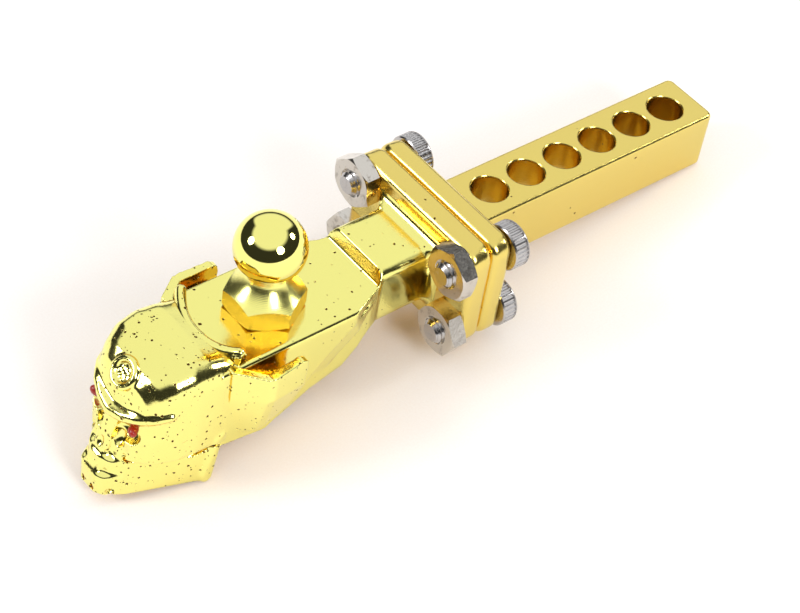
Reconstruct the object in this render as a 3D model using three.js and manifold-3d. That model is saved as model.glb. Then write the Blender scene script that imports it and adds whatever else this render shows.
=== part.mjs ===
// A bolted drop hitch in about one-tenth size: a square drawbar with six pin holes and a flange,
// a cast tongue shaped as a skull with a ball platform, a hitch ball and its fasteners.
// Millimetres. +X runs out of the drawbar's free end, +Z is up, the origin is the middle of that end.
import * as THREE from 'three';
import { mergeVertices } from 'three/addons/utils/BufferGeometryUtils.js';
import Module from 'manifold-3d';

const wasm = await Module();
wasm.setup();

// ---- driving dimensions -------------------------------------------------------------------------

// drawbar
const barSide = 5.5;
const barReach = 28.3;
const barEdge = 0.35;
const pinHole = 3.0;
const pinPitch = 3.85;
const pinFirst = 5.9;
const pinCount = 6;

// bolted flanges
const flangeWidth = 14.6;
const flangeHeight = 10;
const flangeCorner = 1.4;
const flangeEdge = 0.45;
const barFlange = 1.95;
const tongueFlange = 2.15;
const boltSideMargin = 1.4;
const boltTopMargin = 1.95;

// M2 fasteners
const screwSize = 2;
const screwLength = 6;
const screwHead = 3.8;
const screwHeadHeight = 1.45;
const screwEase = 0.22;
const screwSocket = 1.5;
const screwSocketDepth = 0.9;
const nutAcross = 4;
const nutHeight = 1.4;
const nutEase = 0.25;
const boltClearance = 0.15;
const threadClearance = 0.04;
const shortestEdge = 0.03;

// hitch ball
const ballSize = 5.6;
const ballHeight = 5.95;
const ballNeck = 3.2;
const ballHex = 5.5;
const ballHexHeight = 1.9;
const ballConeHeight = 1.45;
const ballArcSteps = 13;
const ballStud = 2.5;
const studClearance = 0.15;
const ballNutAcross = 5;
const ballNutHeight = 2;
const washerThickness = 0.6;
const washerWidth = 0.75;
const washerSplit = 0.3;
const studSpare = 0.5;

// tongue: neck, ball platform and belly, one behind the other from the bolted joint
const neckTop = 2.75;
const neckBottom = -2.9;
const neckNutGap = 0.49;
const neckLength = 7.25;
const neckToBall = 8.85;
const ballToSkull = 6.2;
const platformTop = 1.38;
const platformHalf = 4.45;
const bellyDepth = 8.7;
const bellyInset = 0.4;
const seatThickness = 4.4;
const nutPocketClearance = 0.2;

// skull, measured on from its back, where the platform ends
const domeAhead = 2.3;
const domeDrop = 0.6;
const domeLength = 4.1;
const domeHalf = 4.5;
const domeRise = 3.85;
const muzzleAhead = 8.7;
const cheekHalf = 3.6;
const jawBottom = -9.9;
const jawTop = -6.4;
const jawRearHalf = 4.55;
const jawFrontHalf = 2.5;
const jawWall = 1.7;
const jawSlot = 0.75;
const markRadius = 1.25;
const eyeAhead = 6.9;
const eyeHalf = 2.35;
const eyeDrop = 2.35;
const eyeRadius = 0.68;
const eyeRise = 0.45;
const eyeDepth = 0.5;
const eyeGap = 0.05;

// wings and crest, measured back from the skull's back
const wingWall = 0.75;
const wingRoot = 3.9;
const wingHalf = 6.43;
const wingTipHalf = 6.1;
const wingCornerBack = 2.55;
const wingTipBack = 6;
const wingTop = 1.15;
const wingBottom = -6.1;
const wingDraft = 1.5;
const crestRadius = 0.62;
const crestTop = 2.2;
const crestHalf = 3.7;
const crestHorn = 0.55;
const crestSweep = 1.5;

// ---- sizes that follow from them ----------------------------------------------------------------

const boltAcross = flangeWidth - 2 * boltSideMargin;
const boltRise = flangeHeight - 2 * boltTopMargin;
const nutCorner = nutAcross / 2 / Math.cos(Math.PI / 6);
const neckHalf = boltAcross / 2 - nutCorner - neckNutGap;
const ballSetback = neckLength + neckToBall;
const skullBack = ballSetback + ballToSkull;
const muzzleReach = skullBack + muzzleAhead;
const wingCorner = skullBack - wingCornerBack;
const wingTip = skullBack - wingTipBack;

// ---- solids -------------------------------------------------------------------------------------

function solidOf(geometry) {
  const bare = geometry.clone();
  bare.deleteAttribute('normal');
  bare.deleteAttribute('uv');
  const merged = mergeVertices(bare, 1e-5);
  return new wasm.Manifold(new wasm.Mesh({
    numProp: 3,
    vertProperties: new Float32Array(merged.attributes.position.array),
    triVerts: new Uint32Array(merged.index.array),
  }));
}

function geometryOf(solid) {
  const mesh = solid.getMesh();
  const geometry = new THREE.BufferGeometry();
  geometry.setAttribute('position', new THREE.BufferAttribute(mesh.vertProperties, 3));
  geometry.setIndex(new THREE.BufferAttribute(mesh.triVerts, 1));
  geometry.computeVertexNormals();
  return geometry;
}

// Booleans leave slivers where skins cross at a graze: edges under the limit are drawn together,
// each only where its two ends share exactly two neighbours, so that the skin stays closed.
function withoutSlivers(geometry, shortest) {
  const place = geometry.attributes.position;
  const faces = new Map();
  const around = Array.from({ length: place.count }, () => new Set());
  const index = geometry.index.array;
  for (let f = 0; f < index.length; f += 3) {
    const corners = [index[f], index[f + 1], index[f + 2]];
    faces.set(f, corners);
    corners.forEach((v) => around[v].add(f));
  }
  const at = (v) => new THREE.Vector3().fromBufferAttribute(place, v);
  const neighbours = (v) => new Set([...around[v]].flatMap((f) => faces.get(f)).filter((w) => w !== v));
  const normal = (corners) => new THREE.Triangle(...corners.map(at)).getNormal(new THREE.Vector3());
  const turnsOver = (gone, kept) => [...around[gone]].some((f) => {
    const corners = faces.get(f);
    if (corners.includes(kept)) return false;
    const moved = corners.map((v) => (v === gone ? kept : v));
    return normal(corners).dot(normal(moved)) < 0;
  });
  let changed = true;
  while (changed) {
    changed = false;
    for (let gone = 0; gone < around.length; gone += 1) {
      const near = neighbours(gone);
      const kept = [...near].find((v) => at(v).distanceTo(at(gone)) < shortest
        && [...neighbours(v)].filter((w) => near.has(w)).length === 2
        && (at(v).distanceTo(at(gone)) < shortest / 10 || !turnsOver(gone, v)));
      if (kept === undefined) continue;
      for (const f of [...around[gone]]) {
        const corners = faces.get(f);
        corners.forEach((v) => around[v].delete(f));
        if (corners.includes(kept)) {
          faces.delete(f);
        } else {
          const moved = corners.map((v) => (v === gone ? kept : v));
          faces.set(f, moved);
          moved.forEach((v) => around[v].add(f));
        }
      }
      changed = true;
    }
  }
  const clean = geometry.clone();
  clean.setIndex([...faces.values()].flat());
  const closed = new THREE.BufferGeometry();
  closed.setAttribute('position', clean.toNonIndexed().attributes.position);
  const welded = mergeVertices(closed, 1e-5);
  welded.computeVertexNormals();
  return welded;
}

function join(solids) {
  return solids.reduce((whole, solid) => whole.add(solid));
}

function cut(solid, tools) {
  return tools.reduce((rest, tool) => rest.subtract(tool), solid);
}

// An outline drawn in (y, z) and pushed along x from x0 to x1.
function prismX(shape, x0, x1, bevel = 0) {
  const geometry = new THREE.ExtrudeGeometry(shape, {
    depth: x1 - x0 - 2 * bevel,
    bevelEnabled: bevel > 0,
    bevelThickness: bevel,
    bevelSize: bevel,
    bevelOffset: -bevel,
    bevelSegments: 2,
    curveSegments: 5,
  });
  geometry.translate(0, 0, x0 + bevel);
  const axes = new THREE.Matrix4().makeBasis(
    new THREE.Vector3(0, 1, 0),
    new THREE.Vector3(0, 0, 1),
    new THREE.Vector3(1, 0, 0),
  );
  geometry.applyMatrix4(axes);
  return geometry;
}

// An outline drawn in (x, z) and pushed along y between two sides.
function prismY(points, y0, y1) {
  const shape = new THREE.Shape(points.map(([x, z]) => new THREE.Vector2(x, z)));
  const geometry = new THREE.ExtrudeGeometry(shape, { depth: y1 - y0, bevelEnabled: false });
  const axes = new THREE.Matrix4().makeBasis(
    new THREE.Vector3(1, 0, 0),
    new THREE.Vector3(0, 0, 1),
    new THREE.Vector3(0, -1, 0),
  );
  geometry.applyMatrix4(axes);
  geometry.translate(0, y1, 0);
  return geometry;
}

// An outline drawn in (x, y) and pushed up along z.
function prismZ(points, z0, z1) {
  const shape = new THREE.Shape(points.map(([x, y]) => new THREE.Vector2(x, y)));
  const geometry = new THREE.ExtrudeGeometry(shape, { depth: z1 - z0, bevelEnabled: false });
  geometry.translate(0, 0, z0);
  return geometry;
}

function roundedRect(width, height, corner) {
  const w = width / 2;
  const h = height / 2;
  const shape = new THREE.Shape();
  shape.moveTo(-w + corner, -h);
  shape.lineTo(w - corner, -h);
  shape.absarc(w - corner, -h + corner, corner, -Math.PI / 2, 0);
  shape.lineTo(w, h - corner);
  shape.absarc(w - corner, h - corner, corner, 0, Math.PI / 2);
  shape.lineTo(-w + corner, h);
  shape.absarc(-w + corner, h - corner, corner, Math.PI / 2, Math.PI);
  shape.lineTo(-w, -h + corner);
  shape.absarc(-w + corner, -h + corner, corner, Math.PI, 1.5 * Math.PI);
  return shape;
}

function ring(radius, sides, turn = 0) {
  return Array.from({ length: sides }, (_, i) => {
    const angle = turn + (i * 2 * Math.PI) / sides;
    return [radius * Math.cos(angle), radius * Math.sin(angle)];
  });
}

function ringShape(radius, sides, turn = 0) {
  return new THREE.Shape(ring(radius, sides, turn).map(([u, v]) => new THREE.Vector2(u, v)));
}

// A round rod along x, or a hexagon when it has six sides.
function rodX(radius, x0, x1, sides = 24, turn = 0) {
  return prismX(ringShape(radius, sides, turn), x0, x1);
}

function rodZ(radius, z0, z1, sides = 24, turn = 0) {
  return prismZ(ring(radius, sides, turn), z0, z1);
}

// A turned body about z from its [radius, height] profile.
function turned(profile, sides = 32) {
  const geometry = new THREE.LatheGeometry(profile.map(([r, z]) => new THREE.Vector2(r, z)), sides);
  geometry.rotateX(Math.PI / 2);
  return geometry;
}

function ellipsoid(x, y, z, rx, ry, rz, columns = 24, rows = 14) {
  const geometry = new THREE.SphereGeometry(1, columns, rows);
  geometry.rotateX(Math.PI / 2);
  geometry.scale(rx, ry, rz);
  geometry.translate(x, y, z);
  return geometry;
}

// A closed skin through equal rings of points, with a flat cap at each end. The rings run from the
// skull towards the drawbar, and each goes round from its top through +Y to its bottom.
function loft(rings) {
  const count = rings[0].length;
  const points = rings.flat(2);
  const faces = [];
  for (let r = 0; r + 1 < rings.length; r += 1) {
    for (let i = 0; i < count; i += 1) {
      const a = r * count + i;
      const b = r * count + ((i + 1) % count);
      faces.push(a, b + count, b, a, a + count, b + count);
    }
  }
  const last = (rings.length - 1) * count;
  for (let i = 1; i + 1 < count; i += 1) {
    faces.push(0, i, i + 1);
    faces.push(last, last + i + 1, last + i);
  }
  const geometry = new THREE.BufferGeometry();
  geometry.setAttribute('position', new THREE.Float32BufferAttribute(points, 3));
  geometry.setIndex(faces);
  return geometry;
}

function boltPlaces() {
  const y = boltAcross / 2;
  const z = boltRise / 2;
  return [[y, z], [-y, z], [-y, -z], [y, -z]];
}

function boltHoles(x0, x1) {
  const radius = screwSize / 2 + boltClearance;
  return boltPlaces().map(([y, z]) => solidOf(rodX(radius, x0, x1).translate(0, y, z)));
}

// ---- drawbar ------------------------------------------------------------------------------------

function makeDrawbar() {
  const bar = solidOf(prismX(roundedRect(barSide, barSide, barEdge), barFlange / 2, barReach));
  const plate = roundedRect(flangeWidth, flangeHeight, flangeCorner);
  const flange = solidOf(prismX(plate, 0, barFlange, flangeEdge));
  const pins = Array.from({ length: pinCount }, (_, i) => {
    const hole = rodZ(pinHole / 2, -barSide, barSide);
    return solidOf(hole.translate(pinFirst + i * pinPitch, 0, 0));
  });
  return cut(bar.add(flange), [...pins, ...boltHoles(-1, barFlange + 1)]);
}

// ---- tongue -------------------------------------------------------------------------------------

// One section of the tongue across x: flat top, drawn-in belly and eased corners.
function section(x, top, bottom, upperHalf, lowerHalf) {
  const ease = Math.min(0.5, (top - bottom) / 6);
  const half = [
    [upperHalf - ease, top],
    [upperHalf, top - ease],
    [(upperHalf + lowerHalf) / 2, (top + bottom) / 2],
    [lowerHalf, bottom + 2 * ease],
    [lowerHalf - 1.5 * ease, bottom],
  ];
  const right = half.map(([y, z]) => [x, y, z]);
  const left = half.map(([y, z]) => [x, -y, z]).reverse();
  return [...right, ...left];
}

// A place between the neck's step (0) and the skull's back (1).
function between(share) {
  return -neckLength - share * (skullBack - neckLength);
}

// Each belly section: its place between neck and skull, its depth as a share of the belly's,
// and how far its lower edges are drawn in.
function makeBody() {
  const belly = [
    [1.14, 0.91, 0.3],
    [0.75, 1, 0.3],
    [0.61, 0.92, 0],
    [0.42, 0.74, 0],
    [0.22, 0.65, 0],
    [0.13, 0.49, 0.2],
  ].map(([share, depth, drawn]) => section(
    between(share), platformTop, -bellyDepth * depth,
    platformHalf - bellyInset, platformHalf - bellyInset - drawn));
  const flare = 0.9;
  return solidOf(loft([
    ...belly,
    section(between(0.08), platformTop + 0.1, neckBottom - 0.3, neckHalf + 0.4, neckHalf + 0.6),
    section(-neckLength, neckTop, neckBottom, neckHalf, neckHalf + 0.3),
    section(-tongueFlange - flare, neckTop, neckBottom, neckHalf, neckHalf + 0.3),
    section(-tongueFlange / 2, neckTop + flare, neckBottom - 0.6, neckHalf + flare, neckHalf + flare),
  ]));
}

// The full-width upper walls, with the swept shoulder along each side.
function makeShoulders() {
  const sides = [
    [0.18, platformTop],
    [0.25, 0.6],
    [0.36, -1.8],
    [0.46, -3.2],
    [0.6, -5.6],
    [0.75, -6.6],
    [1, -6.2],
    [1, platformTop],
  ].map(([share, z]) => [between(share), z]);
  return solidOf(prismY(sides, -platformHalf, platformHalf));
}

// One side wing: a thin wall that stands off the platform, bends back at its corner and
// tapers in towards the belly.
function makeWing(side) {
  const root = -skullBack - 0.5;
  const outline = [
    [root, wingTop + 0.2],
    [-skullBack + 0.3, wingTop + 0.6],
    [-wingCorner, wingTop - 0.2],
    [-wingTip - 0.5, wingTop],
    [-wingTip, wingTop - 0.6],
    [-wingTip - 0.25, -1.6],
    [-wingTip - 1.3, -3.7],
    [-wingCorner, wingBottom + 0.9],
    [-skullBack + 0.8, wingBottom],
    [root, wingBottom - 0.1],
  ];
  const slab = solidOf(prismY(outline, 0.2, wingHalf + 1));
  const above = wingTop + 3;
  const below = wingBottom - 1.3;
  const waist = -1.6;
  const wall = (x, y, low) => [[x, 0, above], [x, y, above], [x, y, waist], [x, low, below], [x, 0, below]];
  const bowed = solidOf(loft([
    wall(root, wingRoot - 0.2, wingRoot - 0.3),
    wall(-skullBack, wingRoot + 0.5, wingRoot + 0.1),
    wall(-wingCorner, wingHalf, wingHalf - wingDraft),
    wall(-wingTip + 1, wingTipHalf, wingTipHalf - wingDraft),
  ]));
  const hollow = (x, y, low, floor) => [[x, 0, above + 1], [x, y, above + 1], [x, low, floor], [x, 0, floor]];
  const inner = wingHalf - wingWall - 0.1;
  const innerTip = wingTipHalf - wingWall;
  const gap = solidOf(loft([
    hollow(-skullBack + 0.9, wingRoot + 0.35, wingRoot + 0.35, 0.2),
    hollow(-wingCorner, inner, inner - 0.5, -2.6),
    hollow(-wingTip + 2, innerTip, innerTip - 0.6, -4.6),
  ]));
  const wing = slab.intersect(bowed).subtract(gap);
  return side > 0 ? wing : wing.mirror([0, 1, 0]);
}

// The ridge behind the dome: a half-round bar that sweeps back and up to a horn on each side.
function makeCrest() {
  const sweep = (s) => crestSweep * s * s - skullBack;
  const steps = 6;
  const arc = Array.from({ length: 2 * steps + 1 }, (_, i) => {
    const s = i / steps - 1;
    return new THREE.Vector3(sweep(s) - 0.3, crestHalf * s, crestTop - crestRadius + crestHorn * s ** 4);
  });
  const path = new THREE.CatmullRomCurve3(arc);
  const ridge = new THREE.ExtrudeGeometry(ringShape(crestRadius, 10), {
    steps: 16,
    extrudePath: path,
    bevelEnabled: false,
  });
  const ends = [0, 1].map((end) => {
    const place = path.getPoint(end);
    return solidOf(ellipsoid(place.x, place.y, place.z, crestRadius, crestRadius, crestRadius, 12, 8));
  });
  const webHalf = crestHalf + 0.4;
  const skirt = arc.map((_, i) => [sweep(i / steps - 1) + 0.3, webHalf * (i / steps - 1)]);
  const behind = -skullBack - crestSweep - 0.1;
  const outline = [[behind, webHalf], [behind, -webHalf], ...skirt];
  const web = solidOf(prismZ(outline, -1, crestTop - crestRadius));
  return join([solidOf(ridge), ...ends, web]);
}

// A rib of the face across the head: its half width at the brow, the cheek and the teeth.
function faceRib(ahead, halves, slant, top, teeth) {
  const [brow, cheek, tooth] = halves;
  const x = -skullBack - ahead;
  const side = [[x, brow, top], [x - slant, cheek, -4.6], [x - 2 * slant, tooth, teeth]];
  const other = side.map(([u, y, z]) => [u, -y, z]).reverse();
  return [...side, ...other];
}

function makeSkull() {
  const dome = solidOf(ellipsoid(
    -skullBack - domeAhead, 0, -domeDrop, domeLength, domeHalf, domeRise, 28, 16));
  const body = solidOf(prismY([
    [-skullBack + 0.5, 6], [-skullBack + 0.5, -12], [0, -12], [0, 6],
  ], -8, 8));
  const brow = solidOf(ellipsoid(-skullBack - 4.8, 0, -0.95, 2.2, cheekHalf + 0.4, 0.95, 20, 10));
  const cheeks = [-1, 1].map((side) => solidOf(
    ellipsoid(-skullBack - 3.9, side * (cheekHalf - 1), -4.5, 2.5, 1.7, 1.5, 16, 10)));
  const face = solidOf(loft([
    faceRib(muzzleAhead - 2.2, [0.8, 0.9, 1.1], 1.05, 0.1, -8),
    faceRib(6, [2.4, 2.4, 2.3], 0.55, 0.2, -8),
    faceRib(4.1, [cheekHalf - 0.2, cheekHalf, cheekHalf - 0.5], 0, 0.4, -7),
    faceRib(0.6, [cheekHalf + 0.3, cheekHalf + 0.7, cheekHalf + 0.4], 0, 0.5, jawTop),
  ]));
  const sockets = [-1, 1].map((side) => solidOf(
    ellipsoid(-skullBack - eyeAhead, side * eyeHalf, -eyeDrop - 0.35, 1.4, 1.15, 1.05, 14, 8)));
  const nose = solidOf(ellipsoid(-skullBack - muzzleAhead + 0.7, 0, -5.2, 1.2, 0.7, 1.0, 12, 8));
  const mark = solidOf(ellipsoid(-skullBack - 6.5, 0, 1.3, 0.8, markRadius, markRadius, 16, 8));
  const whole = join([dome, brow, ...cheeks, face]);
  return cut(whole, [body, ...sockets, nose, mark, ...eyeSeats()]);
}

// The lower jaw: a thin-walled V in plan, with a slot between it and the cheek on each side.
function makeJaw() {
  const chin = muzzleReach + 0.2;
  const cheek = skullBack + 7.1;
  const rear = skullBack + 1.7;
  const outer = [
    [-chin, 1.2], [-chin, -1.2], [-cheek, -jawFrontHalf], [-rear, -jawRearHalf],
    [-skullBack - 0.6, -jawRearHalf], [-skullBack - 0.6, jawRearHalf], [-rear, jawRearHalf],
    [-cheek, jawFrontHalf],
  ];
  const body = solidOf(prismZ(outer, jawBottom, jawTop));
  const ribs = [-1, 1].map((side) => {
    const y0 = side > 0 ? jawRearHalf - jawWall : -jawRearHalf;
    return solidOf(prismY([
      [-skullBack + 0.2, -5], [-skullBack - 0.9, -5], [-rear - 0.3, jawBottom + 0.4],
      [-rear + 0.1, jawBottom], [-skullBack - 0.7, jawBottom],
    ], y0, y0 + jawWall));
  });
  const slots = [-1, 1].map((side) => {
    const y0 = side > 0 ? jawRearHalf - jawWall + 0.5 : -jawRearHalf - 1;
    const back = -skullBack - 1.5;
    const front = -skullBack - 5.1;
    return solidOf(prismY([
      [front, jawTop - 0.7], [front + 1.2, jawTop - 0.5], [back, jawTop + 0.3],
      [back + 0.1, jawTop + 0.3 - jawSlot], [front + 1.4, jawTop - 0.5 - jawSlot],
    ], y0, y0 + jawWall + 0.5));
  });
  return cut(join([body, ...ribs]), slots);
}

function makeTongue() {
  const plate = roundedRect(flangeWidth, flangeHeight, flangeCorner);
  const flange = solidOf(prismX(plate, -tongueFlange, 0, flangeEdge));
  const solid = join([
    flange,
    makeBody(),
    makeShoulders(),
    makeSkull(),
    makeJaw(),
    makeCrest(),
    makeWing(1),
    makeWing(-1),
  ]);
  const seatBottom = platformTop - seatThickness;
  const studHole = rodZ(ballStud / 2 + studClearance, seatBottom - 1, platformTop + 1);
  const pocket = rodZ(nutPocketRadius(), jawBottom - 4, seatBottom, 6);
  return cut(solid, [
    ...boltHoles(-tongueFlange - 0.02, 1),
    solidOf(studHole.translate(-ballSetback, 0, 0)),
    solidOf(pocket.translate(-ballSetback, 0, 0)),
  ]);
}

function nutPocketRadius() {
  return (ballNutAcross / 2 + nutPocketClearance) / Math.cos(Math.PI / 6);
}

// Each eye is a low bead in a slightly larger seat of the same shape.
function eyeBead(side, grow) {
  const bead = new THREE.SphereGeometry(1, 14, 8);
  bead.rotateZ(Math.PI / 2);
  bead.scale(eyeDepth + grow, eyeRadius + grow, eyeRise + grow);
  return bead.translate(-skullBack - eyeAhead, side * eyeHalf, -eyeDrop);
}

function eyeSeats() {
  return [-1, 1].map((side) => solidOf(eyeBead(side, eyeGap)));
}

function makeEye(side) {
  return solidOf(eyeBead(side, 0));
}

// ---- hitch ball, its washer and nut -------------------------------------------------------------

function makeBall() {
  const r = ballSize / 2;
  const centre = ballHeight;
  const neck = ballNeck / 2;
  const inset = 0.1;
  const profile = [[0, -ballShank()], [ballStud / 2, -ballShank()], [ballStud / 2, 0]];
  const base = [[ballHex / 2 - inset, 0], [ballHex / 2 - inset, ballHexHeight]];
  const cone = [[ballHex / 2 - 3 * inset, ballHexHeight], [neck, ballHexHeight + ballConeHeight]];
  const low = -Math.acos(Math.min(1, neck / r));
  const arc = Array.from({ length: ballArcSteps }, (_, i) => {
    const angle = low + (i / ballArcSteps) * (Math.PI / 2 - low);
    return [r * Math.cos(angle), centre + r * Math.sin(angle)];
  });
  const body = solidOf(turned([...profile, ...base, ...cone, ...arc, [0, centre + r]]));
  const hex = solidOf(rodZ(ballHex / 2 / Math.cos(Math.PI / 6), 0, ballHexHeight, 6, Math.PI / 6));
  const crown = solidOf(turned([
    [0, -1], [ballHex / 2 + 0.45, -1], [ballHex / 2 + 0.45, ballHexHeight - 0.35],
    [ballHex / 2 - 0.15, ballHexHeight + 0.05], [0, ballHexHeight + 0.05],
  ]));
  return body.add(hex.intersect(crown));
}

function ballShank() {
  return seatThickness + washerThickness + ballNutHeight + studSpare;
}

function makeLockWasher() {
  const inner = ballStud / 2 + threadClearance;
  const outer = inner + washerWidth;
  const half = washerSplit / 2;
  const disc = solidOf(rodZ(outer, 0, washerThickness));
  const split = solidOf(prismZ([[inner / 2, -half], [outer + 1, -half], [outer + 1, half], [inner / 2, half]], -1, 2));
  return cut(disc, [solidOf(rodZ(inner, -1, 2)), split]);
}

// ---- hexagon nut and cap screw ------------------------------------------------------------------

function makeNut(across, height, bore, turn = 0) {
  const corner = across / 2 / Math.cos(Math.PI / 6);
  const hex = solidOf(rodX(corner, -height, 0, 6, turn));
  const flat = across / 2 - nutEase / 5;
  const dome = turned([
    [0, -height], [flat, -height], [corner, nutEase - height], [corner, 0], [0, 0],
  ], 24);
  dome.rotateY(Math.PI / 2);
  return cut(hex.intersect(solidOf(dome)), [solidOf(rodX(bore / 2, -height - 1, 1))]);
}

function makeScrew() {
  const length = screwLength;
  const head = screwHead / 2;
  const ease = screwEase;
  const profile = [
    [0, -length], [screwSize / 2 - ease, -length], [screwSize / 2, ease - length], [screwSize / 2, 0],
    [head, 0], [head, screwHeadHeight - ease], [head - ease, screwHeadHeight], [0, screwHeadHeight],
  ];
  const body = turned(profile, 24);
  body.rotateY(Math.PI / 2);
  const socket = rodX(screwSocket / 2 / Math.cos(Math.PI / 6),
    screwHeadHeight - screwSocketDepth, screwHeadHeight + 1, 6);
  return solidOf(body).subtract(solidOf(socket));
}

// ---- the assembly -------------------------------------------------------------------------------

function finish(colour, roughness) {
  return new THREE.MeshStandardMaterial({ color: colour, roughness, metalness: 1 });
}

const gold = finish(0xe6c84a, 0.16);
const steel = finish(0xb9bcc0, 0.28);
const enamel = new THREE.MeshStandardMaterial({ color: 0xb01c18, roughness: 0.3, metalness: 0 });

function named(name, solid, material) {
  const mesh = new THREE.Mesh(withoutSlivers(geometryOf(solid), shortestEdge), material.clone());
  mesh.name = name;
  return mesh;
}

// Everything is made about the bolted joint, then moved back so that the origin is the bar's end.
const hitch = new THREE.Group();
hitch.position.set(-barReach, 0, 0);
hitch.add(named('drawbar', makeDrawbar(), gold));
hitch.add(named('tongue', makeTongue(), gold));
boltPlaces().forEach(([y, z], i) => {
  const screw = named(`cap_screw_${i + 1}`, makeScrew(), steel);
  screw.position.set(barFlange, y, z);
  const nut = named(`hex_nut_${i + 1}`, makeNut(nutAcross, nutHeight, screwSize + 2 * threadClearance), steel);
  nut.position.set(-tongueFlange, y, z);
  hitch.add(screw, nut);
});

const ball = named('hitch_ball', makeBall(), gold);
ball.position.set(-ballSetback, 0, platformTop);
const lockWasher = named('ball_lock_washer', makeLockWasher(), steel);
lockWasher.position.set(-ballSetback, 0, platformTop - seatThickness - washerThickness);
const ballNutBore = ballStud + 2 * threadClearance;
const ballNutSolid = makeNut(ballNutAcross, ballNutHeight, ballNutBore, Math.PI / 2);
const ballNut = named('ball_nut', ballNutSolid, steel);
ballNut.rotation.y = -Math.PI / 2;
ballNut.position.set(-ballSetback, 0, lockWasher.position.z);
hitch.add(ball, lockWasher, ballNut);
[['left_eye', 1], ['right_eye', -1]].forEach(([name, side]) => {
  hitch.add(named(name, makeEye(side), enamel));
});

const part = new THREE.Group();
part.add(hitch);

export default part;
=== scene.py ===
import math

import bpy
from mathutils import Matrix, Vector


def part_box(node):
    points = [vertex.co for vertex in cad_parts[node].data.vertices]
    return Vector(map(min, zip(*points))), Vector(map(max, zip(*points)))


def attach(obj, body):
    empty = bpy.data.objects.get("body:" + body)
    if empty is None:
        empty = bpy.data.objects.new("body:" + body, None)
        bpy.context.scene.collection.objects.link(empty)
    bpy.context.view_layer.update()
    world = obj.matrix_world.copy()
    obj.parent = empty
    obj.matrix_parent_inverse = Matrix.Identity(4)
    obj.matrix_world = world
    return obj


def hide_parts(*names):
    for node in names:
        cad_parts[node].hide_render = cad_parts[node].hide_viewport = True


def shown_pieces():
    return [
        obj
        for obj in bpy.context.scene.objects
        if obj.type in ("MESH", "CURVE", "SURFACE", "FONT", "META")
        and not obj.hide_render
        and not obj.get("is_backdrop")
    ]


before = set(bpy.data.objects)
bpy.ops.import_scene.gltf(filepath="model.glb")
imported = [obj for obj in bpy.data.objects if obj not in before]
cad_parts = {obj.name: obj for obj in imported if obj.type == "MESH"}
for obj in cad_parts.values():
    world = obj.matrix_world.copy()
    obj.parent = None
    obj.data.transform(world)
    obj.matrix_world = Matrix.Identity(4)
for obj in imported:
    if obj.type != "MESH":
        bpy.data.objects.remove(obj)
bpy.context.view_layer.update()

# all is modelled in millimetres about the bolted joint, and finishPiece makes it metres in the part's frame
mm = 0.001
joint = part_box("drawbar")[0].x / mm
barReach = -joint


def boxInMm(node):
    low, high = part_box(node)
    return low / mm - Vector((joint, 0, 0)), high / mm - Vector((joint, 0, 0))


def middleOf(node):
    low, high = boxInMm(node)
    return (low + high) / 2


def deselectAll():
    for item in bpy.context.selected_objects:
        item.select_set(False)


def pick(piece):
    deselectAll()
    piece.select_set(True)
    bpy.context.view_layer.objects.active = piece


def justAdded(name, turn=(0, 0, 0)):
    piece = bpy.context.active_object
    piece.name = name
    pick(piece)
    piece.rotation_euler = [math.radians(angle) for angle in turn]
    bpy.ops.object.transform_apply(location=True, rotation=True, scale=True)
    return piece


def addBox(name, size, place, turn=(0, 0, 0)):
    deselectAll()
    bpy.ops.mesh.primitive_cube_add(size=1, location=place, scale=size)
    return justAdded(name, turn)


def addBlob(name, size, place, turn=(0, 0, 0), rows=20):
    deselectAll()
    bpy.ops.mesh.primitive_uv_sphere_add(
        segments=2 * rows, ring_count=rows, radius=1, location=place, scale=size)
    return justAdded(name, turn)


def addRod(name, radius, length, place, axis="Z", sides=48, turn=(0, 0, 0)):
    deselectAll()
    bpy.ops.mesh.primitive_cone_add(
        vertices=sides, radius1=radius, radius2=radius, depth=length, location=place)
    lay = {"X": (0, 90, 0), "Y": (90, 0, 0), "Z": (0, 0, 0)}[axis]
    return justAdded(name, [a + b for a, b in zip(lay, turn)])


def chooseFaces(piece, wanted):
    for face in piece.data.polygons:
        face.select = wanted(face)
    for edge in piece.data.edges:
        edge.select = False
    for corner in piece.data.vertices:
        corner.select = False


def chooseEdges(piece, wanted):
    corners = piece.data.vertices
    for face in piece.data.polygons:
        face.select = False
    for corner in corners:
        corner.select = False
    for edge in piece.data.edges:
        a, b = [corners[i].co for i in edge.vertices]
        edge.select = wanted(a, b)


def edited(piece, mode, choose, wanted, work):
    # `work` is done in edit mode on the faces or edges that `wanted` is true of
    pick(piece)
    bpy.ops.object.mode_set(mode="EDIT")
    bpy.ops.mesh.select_mode(type=mode)
    bpy.ops.object.mode_set(mode="OBJECT")
    choose(piece, wanted)
    bpy.ops.object.mode_set(mode="EDIT")
    work()
    bpy.ops.object.mode_set(mode="OBJECT")


def editEdges(piece, wanted, work):
    edited(piece, "EDGE", chooseEdges, wanted, work)


def editFaces(piece, wanted, work):
    edited(piece, "FACE", chooseFaces, wanted, work)


def roundEdges(piece, wanted, radius, steps=4):
    bevel = {"offset_type": "OFFSET", "offset": radius, "segments": steps, "profile": 0.5}
    editEdges(piece, wanted, lambda: bpy.ops.mesh.bevel(affect="EDGES", clamp_overlap=True, **bevel))


def alongX(a, b):
    return abs(a.y - b.y) < 1e-4 and abs(a.z - b.z) < 1e-4


def applied(piece, kind, **settings):
    pick(piece)
    modifier = piece.modifiers.new(kind.lower(), kind)
    for key, value in settings.items():
        setattr(modifier, key, value)
    bpy.ops.object.modifier_apply(modifier=modifier.name)
    return piece


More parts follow.
